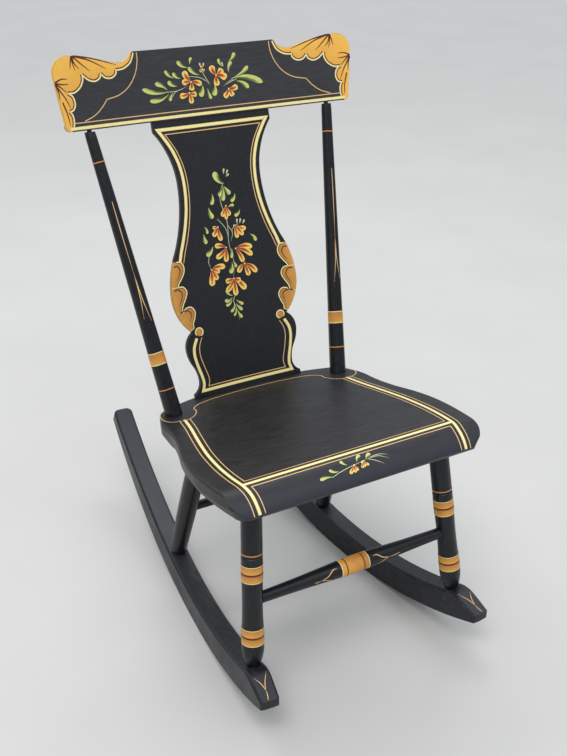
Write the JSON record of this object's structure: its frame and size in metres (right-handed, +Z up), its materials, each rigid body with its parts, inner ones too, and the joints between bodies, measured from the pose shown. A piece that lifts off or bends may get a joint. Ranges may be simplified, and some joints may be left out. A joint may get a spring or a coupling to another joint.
{
  "type": "rocking chair",
  "caption": "Armless plank-seat rocking chair with a fiddle-shaped back splat, eared crest rail, turned legs and stretchers, and long curved rockers.",
  "frame": {"origin": "on the floor, midway between the two rockers and midway between the rocker noses and tails", "axes": "+X across the chair to the right of a viewer who faces its front, +Y from front to back, +Z up; the sitter faces -Y"},
  "size_m": [0.491, 0.733, 0.8486],
  "materials": {
    "seat_paint": "worn satin black paint with ochre stripes",
    "back_paint": "satin black paint with gold ornament",
    "turned_paint": "satin black paint with gold bands",
    "rocker_paint": "worn satin black paint",
    "peg_paint": "satin black paint"
  },
  "bodies": {
    "root": {"seat_plank": "seat_paint", "crest_rail": "back_paint", "back_splat": "back_paint", "front_stretcher": "turned_paint", "rear_stretcher": "turned_paint", "rocker_pegs": "peg_paint", "crest_pegs": "peg_paint", "stile_right": "back_paint", "front_leg_right": "turned_paint", "rear_leg_right": "turned_paint", "rocker_right": "rocker_paint", "stile_left": "back_paint", "front_leg_left": "turned_paint", "rear_leg_left": "turned_paint", "rocker_left": "rocker_paint"}
  },
  "joints": []
}
